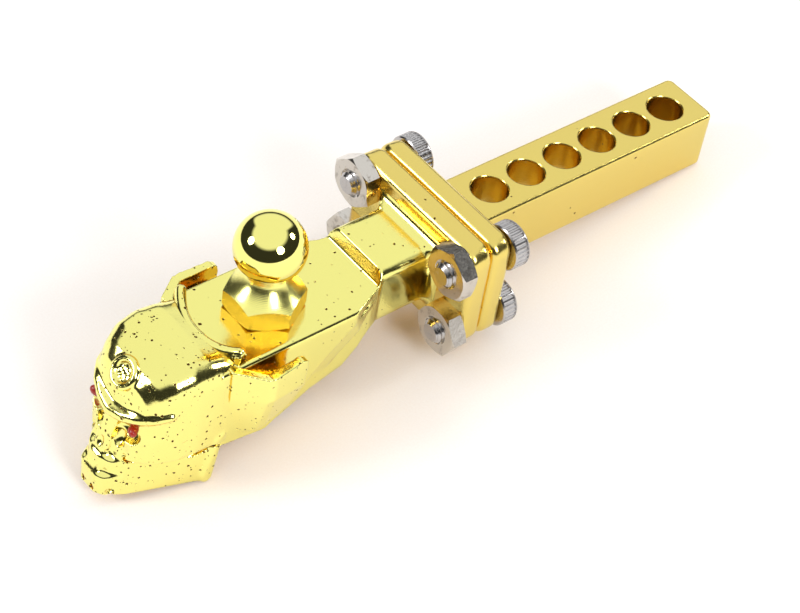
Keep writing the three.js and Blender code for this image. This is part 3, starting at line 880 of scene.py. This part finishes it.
skull = {
    "voxel": 0.065,
    "roughVoxel": 0.12,
    "roughSmoothing": 14,
    "jawSetback": 0.3,
    "chinFloor": -9.85,
    "crownEdge": 1.9,
    "helmet": [
        # x, bottom, top, half width, from the back to the forehead
        (-20.6, -5.9, 1.75, 4.3),
        (-22.2, -5.9, 2.05, 4.45),
        (-23.4, -5.9, 2.4, 4.45),
        (-25.0, -5.9, 2.6, 4.45),
        (-26.6, -5.9, 2.35, 4.25),
        (-27.8, -5.8, 1.7, 3.75),
        (-28.6, -5.6, 0.8, 3.2),
        (-29.1, -5.2, -0.6, 2.5),
        (-29.3, -4.8, -1.6, 1.9),
    ],
    "brow": [
        (-29.55, 0.0, -2.2), (-29.35, 1.3, -1.9), (-28.95, 2.4, -1.5), (-28.15, 3.45, -1.1),
        (-27.0, 4.15, -0.85),
    ],
    "browRadius": 0.56,
    "browTip": 0.3,
    "mark": {"place": (-28.5, 0.0, 0.98), "ring": 1.05, "rim": 0.3, "lean": -52.0, "grains": 22},
    "carved": [
        ("noseHole", (-30.75, 0, -5.15), (0.7, 0.5, 0.8), (0, 0, 0)),
    ],
    "carvedPaired": [
        ("socket", (-29.65, 1.95, -3.3), (1.2, 1.3, 0.85), (0, 0, -12)),
        ("innerSocket", (-29.9, 1.2, -4.15), (1.0, 0.58, 1.15), (0, 0, 0)),
        ("cheekPocket", (-29.15, 3.7, -2.75), (0.75, 0.55, 0.42), (0, 0, 20)),
        ("nosePocket", (-30.7, 0.9, -5.85), (0.6, 0.36, 0.42), (0, 0, 0)),
        ("corner", (-30.1, 1.95, -5.6), (0.75, 0.25, 0.3), (0, 0, 0)),
        ("toothGap", (-31.15, 0.55, -9.35), (0.5, 0.2, 0.35), (0, 0, 0)),
        ("toothGap", (-30.35, 1.65, -9.45), (0.5, 0.25, 0.4), (0, 0, 0)),
        ("templeDent", (-25.9, 4.75, -4.1), (0.45, 0.5, 0.16), (0, 0, 0)),
    ],
}


def lumpsOf(table, paired=False):
    pieces = []
    for name, place, size, turn in table:
        pieces.append(addBlob(name, size, place, turn))
        if paired:
            other = (place[0], -place[1], place[2])
            pieces.append(addBlob(name, size, other, (-turn[0], turn[1], -turn[2])))
    return pieces


def ridgeAlong(points, radius, tip, steps=6):
    # a rounded ridge through the points on one side, thinner towards its end, and the same on the other
    beads = []
    total = steps * (len(points) - 1)
    for i in range(total + 1):
        j = min(i // steps, len(points) - 2)
        x, y, z = Vector(points[j]).lerp(Vector(points[j + 1]), i / steps - j)
        size = radius + (tip - radius) * (i / total) ** 2
        beads.append(addBlob("bead", (size,) * 3, (x, y, z), rows=8))
        beads.append(addBlob("bead", (size,) * 3, (x, -y, z), rows=8))
    return beads


def bothSides(points):
    return points + [(x, -y) for x, y in reversed(points)]


def makeHelmet(s):
    helmet = grownAlongX("helmet", s["helmet"])
    longTop = lambda a, b: abs(a.x - b.x) > 0.05 and a.z > -2 and b.z > -2
    roundEdges(helmet, longTop, s["crownEdge"], 8)
    return helmet


def makeFace(s):
    # the face slopes forward from the brow to the chin, and is set back beside its middle
    low = s["chinFloor"]
    middle = [(-28.4, -2.0), (-29.2, -2.3), (-29.75, -3.9), (-30.2, -5.0), (-30.55, -6.2), (-31.0, -7.2),
              (-31.35, -8.0), (-31.3, -8.8), (-30.9, -9.6), (-30.4, low), (-28.0, low), (-27.6, -2.0)]
    beside = [(-28.2, -2.6), (-29.4, -4.6), (-29.75, -5.6), (-30.1, -7.0), (-30.35, -8.2), (-30.2, -9.2),
              (-29.8, low), (-27.0, low), (-26.6, -2.6)]
    lip = bothSides([(-30.85, 0.5), (-30.4, 1.35), (-29.5, 2.2), (-27.5, 2.6)])
    return [
        plateFromOutline("faceMiddle", middle, -0.75, 1.5, "XZ"),
        plateFromOutline("faceBeside", beside, -1.75, 3.5, "XZ"),
        plateFromOutline("upperLip", lip, -7.5, 1.2, "XY"),
    ]


cheekPlan = [(-20.6, 4.42), (-26.2, 4.35), (-28.2, 3.7), (-29.35, 2.6), (-29.5, 1.9)]


def makeCheeks():
    cheeks = plateFromOutline("cheeks", bothSides(cheekPlan), -5.95, 3.1, "XY")
    roundEdges(cheeks, lambda a, b: a.z > -3 and b.z > -3, 0.6, 3)
    return cheeks


def makeJaw(s):
    back = s["jawSetback"]
    chin = bothSides([(-31.35, 0.8), (-30.95, 1.45), (-29.4, 2.35), (-28.0, 2.35)])
    sides = bothSides([(-29.55, 2.3), (-24.0, 4.5 - back), (-22.8, 4.5 - back)])
    return [
        plateFromOutline("chin", chin, s["chinFloor"], 2.1, "XY"),
        plateFromOutline("jaw", sides, s["chinFloor"], 4.2, "XY"),
    ]


def makeRibs():
    side = [(-22.2, -5.0), (-23.0, -5.2), (-24.1, -9.3), (-23.95, -9.8), (-23.5, -9.95), (-23.1, -9.6)]
    return [plateFromOutline("rib", side, y, 1.6, "XZ") for y in (2.95, -4.55)]


def makeSlots():
    # the slots between the cheeks and the lower jaw, and the creases beside the chin
    slot = [(-26.9, -6.9), (-26.6, -6.5), (-25.0, -6.15), (-23.6, -5.9), (-23.5, -6.4), (-25.0, -6.85),
            (-26.5, -7.1)]
    slots = [plateFromOutline("slot", slot, y, 2.0, "XZ") for y in (3.75, -5.75)]
    for side in (1, -1):
        slots.append(addRod("crease", 0.17, 2.4, (-29.5, side * 2.42, -8.6), sides=12))
        inside = [(x + 0.25, side * (y - 0.36)) for x, y in reversed(cheekPlan)]
        outside = [(x - 0.6, side * (y + 0.6)) for x, y in cheekPlan]
        slots.append(plateFromOutline("lipLine", outside + inside, -6.16, 0.28, "XY"))
    return slots


def makeMark(m):
    deselectAll()
    bpy.ops.mesh.primitive_torus_add(
        location=m["place"], major_radius=m["ring"], minor_radius=m["rim"],
        major_segments=48, minor_segments=14)
    ring = justAdded("markRing", (0, m["lean"], 0))
    lean = Matrix.Rotation(math.radians(m["lean"]), 3, "Y")
    grains = [ring]
    for i in range(m["grains"]):
        # grains spread evenly by the golden angle over the floor of the mark
        away = m["ring"] * 0.85 * math.sqrt((i + 0.5) / m["grains"])
        angle = math.radians(137.5 * i)
        place = Vector(m["place"]) + lean @ Vector((away * math.cos(angle), away * math.sin(angle), -0.16))
        grains.append(addBlob("grain", (0.2, 0.2, 0.2), place, rows=6))
    return joined("mark", grains)


def makeSkull(s, p):
    solid = [makeHelmet(s), makeCheeks()] + makeJaw(s) + makeFace(s) + makeRibs()
    brow = ridgeAlong(s["brow"], s["browRadius"], s["browTip"])
    head = reskinned(joined("skull", solid + brow), s["roughVoxel"], 0.5, s["roughSmoothing"])
    head = reskinned(joined("skull", [head, makeMark(s["mark"])]), s["voxel"], 0.5, 2)
    cuts = lumpsOf(s["carved"]) + lumpsOf(s["carvedPaired"], True) + makeSlots()
    cutters = reskinned(joined("cuts", cuts), s["voxel"], 0.5, 1)
    cutBy(head, cutters, solver="MANIFOLD")
    cutBy(head, makeBehind(p), solver="MANIFOLD")
    return reskinned(head, s["voxel"], 0.5, 4)


def makeBehind(p):
    # the skull ends in a curve that follows the crest
    curve = [(p["skull"] + 0.3 + crest["sweep"] * (y / crest["half"]) ** 2, y) for y in range(-6, 7)]
    return plateFromOutline("behind", curve + [(-8, 6), (-8, -6)], -14, 20, "XY")


finishPiece(makeSkull(skull, platform), castGold, "gold_casting", "tongue", smoothAngle=180)


eye = {"size": (0.36, 0.56, 0.42), "slant": 24.0, "turn": 28.0, "in": 0.02, "drop": 0.42}


def makeEye(e, node, side):
    middle = middleOf(node)
    place = (middle.x + e["in"], middle.y, middle.z - e["drop"])
    turn = (side * e["slant"], 0, side * e["turn"])
    return addBlob(node.replace("_eye", "Eye"), e["size"], place, turn, rows=24)


for node in ("left_eye", "right_eye"):
    side = 1 if middleOf(node).y > 0 else -1
    finishPiece(makeEye(eye, node, side), redEnamel, "red_enamel", node, smoothAngle=180)


ball = {
    "radius": 2.8,
    "centre": 5.95,
    "underCut": 1.2,
    "neck": 1.55,
    "hexAcross": 5.5,
    "hexHeight": 1.9,
    "coneTop": 3.35,
    "stud": 1.25,
}


def makeBall(b, seat, x):
    low = b["centre"] - b["underCut"]
    rim = math.sqrt(b["radius"] ** 2 - b["underCut"] ** 2)
    underside = -math.degrees(math.asin(b["underCut"] / b["radius"]))
    ballSkin = turnedProfile(
        "hitchBallVisual",
        [(0, low - 0.35), (b["neck"] + 0.1, low - 0.35), (rim - 0.12, low - 0.08)]
        + arcPoints((0, b["centre"]), b["radius"], underside, 90, 44)[:-1]
        + [(0, b["centre"] + b["radius"])],
        (x, 0, seat), steps=128)
    hexRadius = b["hexAcross"] / 2 / math.cos(math.pi / 6)
    foot = addRod("foot", hexRadius, b["hexHeight"] + 0.3, (x, 0, seat + b["hexHeight"] / 2), sides=6)
    ease = 0.14
    flat = b["hexAcross"] / 2
    crown = turnedProfile(
        "crown",
        [(0, 0), (flat - 0.02, 0), (hexRadius + 0.1, 2.2 * ease), (hexRadius + 0.1, b["hexHeight"] - 0.42),
         (flat - 0.1, b["hexHeight"]), (0, b["hexHeight"])],
        (x, 0, seat), steps=128)
    deep = b["coneTop"] - b["hexHeight"]
    start = flat - 0.1
    shares = [i / 12 for i in range(13)]
    cone = [(start - (start - b["neck"]) * (1 - (1 - u) ** 1.5), b["hexHeight"] + deep * u) for u in shares]
    base = turnedProfile(
        "base",
        [(0, b["hexHeight"] - 0.5), (start, b["hexHeight"] - 0.5), *cone, (b["neck"], low), (0, low)],
        (x, 0, seat), steps=128)
    cutBy(foot, crown, "INTERSECT")
    cutBy(foot, base, "UNION")
    foot.name = "ballFoot"
    return ballSkin, foot


ballSkin, ballFoot = makeBall(ball, platform["top"], platform["ballX"])
finishPiece(ballSkin, ballGold, "gold_ball", "hitch_ball", smoothAngle=40)
finishPiece(ballFoot, neckGold, "gold_ball", "hitch_ball", smoothAngle=24)


ballNut = {"crown": 0.2, "gap": 0.04}


def makeBallNut(b):
    # the nut in the pocket under the ball, the nearest face against the lock washer
    low, high = boxInMm("ball_nut")
    wide, deep = high.x - low.x, high.y - low.y
    across = min(wide, deep)
    bore = 2 * (ball["stud"] + b["gap"])
    piece = makeNut({"across": across, "height": high.z - low.z, "crown": b["crown"], "bore": bore})
    piece.rotation_euler = (0, -math.pi / 2, math.radians(30 if wide > deep else 0))
    piece.location = (middleOf("ball_nut").x, 0, high.z)
    pick(piece)
    bpy.ops.object.transform_apply(location=True, rotation=True, scale=True)
    piece.name = "ballNut"
    return piece


def makeBallWasher():
    low, high = boxInMm("ball_lock_washer")
    x = middleOf("ball_lock_washer").x
    outer = (high.y - low.y) / 2
    inner = ball["stud"] + ballNut["gap"]
    thick = high.z - low.z
    edge = 0.06
    washer = turnedProfile(
        "ballLockWasher",
        [(inner, edge), (inner + edge, 0), (outer - edge, 0), (outer, edge),
         (outer, thick - edge), (outer - edge, thick), (inner + edge, thick),
         (inner, thick - edge), (inner, edge)],
        (x, 0, low.z), steps=64)
    slit = addBox("slit", (2 * outer, 0.25, 4), (x + outer, 0, low.z))
    return cutBy(washer, slit)


def makeStud(b, seat, x):
    # the ball's threaded stud, down through the seat, the washer and the nut
    bottom = boxInMm("hitch_ball")[0].z
    pitch = 0.45
    inner = b["stud"] - 0.14
    turns = int((seat - bottom - 0.4) / pitch)
    points = [(0, bottom), (inner - 0.1, bottom), (inner, bottom + 0.1)]
    for i in range(turns):
        start = bottom + 0.15 + i * pitch
        points += [(inner, start), (b["stud"], start + 0.42 * pitch), (b["stud"], start + 0.58 * pitch)]
    points += [(inner, bottom + 0.15 + turns * pitch), (inner, seat), (0, seat)]
    return turnedProfile("ballStud", points, (x, 0, 0), steps=48)


ballStud = makeStud(ball, platform["top"], platform["ballX"])
finishPiece(ballStud, neckGold, "gold_ball", "hitch_ball", smoothAngle=24)
finishPiece(makeBallNut(ballNut), nutSteel, "nut_steel", "ball_nut", smoothAngle=24, weighted=True)
finishPiece(makeBallWasher(), nutSteel, "nut_steel", "ball_lock_washer", smoothAngle=30)


studio = {
    "floorTilt": 7.9,
    "ceiling": 1.02,
    "ceilingEdge": (34.0, 46.0),
    "sweepMiddle": 45.0,
    "sweepHalf": (30.0, 58.0),
    "sweepDrop": 30.0,
    "dark": 0.035,
    "paperDark": (0.925, 0.885, 0.855),
    "paperPale": (0.945, 0.915, 0.89),
    "camera": {
        "azimuth": -45.63, "elevation": 44.83, "roll": 10.06,
        "place": (-0.1240, -0.0919, 0.1241), "lens": 104.1,
    },
    "lamps": [
        {"name": "lampLeft", "azimuth": -90.0, "elevation": 31.0, "across": 22.0, "strength": 15.0},
        {"name": "lampRight", "azimuth": -24.0, "elevation": 25.0, "across": 15.0, "strength": 15.0},
        {"name": "lampBack", "azimuth": 150.0, "elevation": 33.0, "across": 20.0, "strength": 14.0},
    ],
}
tilt = Matrix.Rotation(-math.radians(studio["floorTilt"]), 3, "Y")
floorUp = tilt @ Vector((0, 0, 1))


def makeFloor(s):
    solids = [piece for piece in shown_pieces() if piece.type == "MESH"]
    lowest = min(floorUp.dot(corner.co) for piece in solids for corner in piece.data.vertices)
    deselectAll()
    bpy.ops.mesh.primitive_plane_add(size=3.0)
    floor = bpy.context.active_object
    floor.name = "paleFloor"
    floor.rotation_euler = tilt.to_euler()
    floor.location = floorUp * lowest
    material, tree, shader, place = newMaterial("palePaper")
    fibre = addNode(tree, "ShaderNodeTexNoise", in_Scale=6000.0, in_Detail=3.0)
    tree.links.new(place, fibre.inputs["Vector"])
    shade = rangeNode(tree, fibre.outputs["Fac"], 0.3, 0.7, 0.0, 1.0)
    paper = mixColour(tree, shade, s["paperDark"], s["paperPale"])
    tree.links.new(paper, shader.inputs["Base Color"])
    shader.inputs["Roughness"].default_value = 0.85
    floor.data.materials.append(material)
    floor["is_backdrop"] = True
    return floor


def makeCamera(c):
    data = bpy.data.cameras.new("studioCamera")
    data.lens = c["lens"]
    data.sensor_width = 36.0
    data.clip_start = 0.005
    data.clip_end = 10.0
    camera = bpy.data.objects.new("studioCamera", data)
    bpy.context.scene.collection.objects.link(camera)
    a, e = math.radians(c["azimuth"]), math.radians(c["elevation"])
    back = Vector((math.sin(a) * math.cos(e), -math.cos(a) * math.cos(e), math.sin(e)))
    camera.rotation_mode = "QUATERNION"
    roll = Matrix.Rotation(math.radians(c["roll"]), 3, back)
    camera.rotation_quaternion = (roll @ (-back).to_track_quat("-Z", "Y").to_matrix()).to_quaternion()
    camera.location = c["place"]
    bpy.context.scene.camera = camera


def makeLamp(lamp):
    away = 1.0
    a, e = math.radians(lamp["azimuth"]), math.radians(lamp["elevation"])
    towards = tilt @ Vector((math.cos(a) * math.cos(e), math.sin(a) * math.cos(e), math.sin(e)))
    data = bpy.data.lights.new(lamp["name"], "AREA")
    data.shape = "DISK"
    data.size = 2 * away * math.tan(math.radians(lamp["across"] / 2))
    area = math.pi * (data.size / 2) ** 2
    data.energy = lamp["strength"] * area * math.pi
    light = bpy.data.objects.new(lamp["name"], data)
    bpy.context.scene.collection.objects.link(light)
    light.location = towards * away + Vector((joint * mm, 0, 0))
    light.rotation_mode = "QUATERNION"
    light.rotation_quaternion = (-towards).to_track_quat("-Z", "Y")


def makeSurroundings(s):
    # a white ceiling, a white sweep behind the object and a dark room between them
    world = bpy.data.worlds.new("studioRoom")
    bpy.context.scene.world = world
    world.use_nodes = True
    tree = world.node_tree
    link = tree.links.new
    background = next(node for node in tree.nodes if node.type == "BACKGROUND")
    place = addNode(tree, "ShaderNodeTexCoord")
    level = addNode(tree, "ShaderNodeMapping", vector_type="TEXTURE")
    level.inputs["Rotation"].default_value = tilt.to_euler()
    link(place.outputs["Generated"], level.inputs["Vector"])
    parts = addNode(tree, "ShaderNodeSeparateXYZ")
    link(level.outputs[0], parts.inputs[0])
    height = mathNode(tree, "MULTIPLY", mathNode(tree, "ARCSINE", parts.outputs["Z"]), 180 / math.pi)
    around = mathNode(tree, "ARCTAN2", parts.outputs["Y"], parts.outputs["X"])
    around = mathNode(tree, "MULTIPLY", around, 180 / math.pi)
    off = mathNode(tree, "ABSOLUTE", mathNode(tree, "SUBTRACT", around, s["sweepMiddle"]))
    inSweep = rangeNode(tree, off, s["sweepHalf"][0], s["sweepHalf"][1], 1.0, 0.0)
    edge = mathNode(tree, "MULTIPLY_ADD", inSweep, s["sweepDrop"], height)
    ceiling = rangeNode(tree, edge, s["ceilingEdge"][0], s["ceilingEdge"][1], 0.0, 1.0)
    shade = mathNode(tree, "MULTIPLY_ADD", ceiling, s["ceiling"] - s["dark"], s["dark"])
    link(shade, background.inputs["Strength"])
    background.inputs["Color"].default_value = (1, 1, 1, 1)


makeCamera(studio["camera"])
for lamp in studio["lamps"]:
    makeLamp(lamp)
makeSurroundings(studio)
makeFloor(studio)
bpy.context.scene.view_settings.view_transform = "Standard"
print("studio ready")
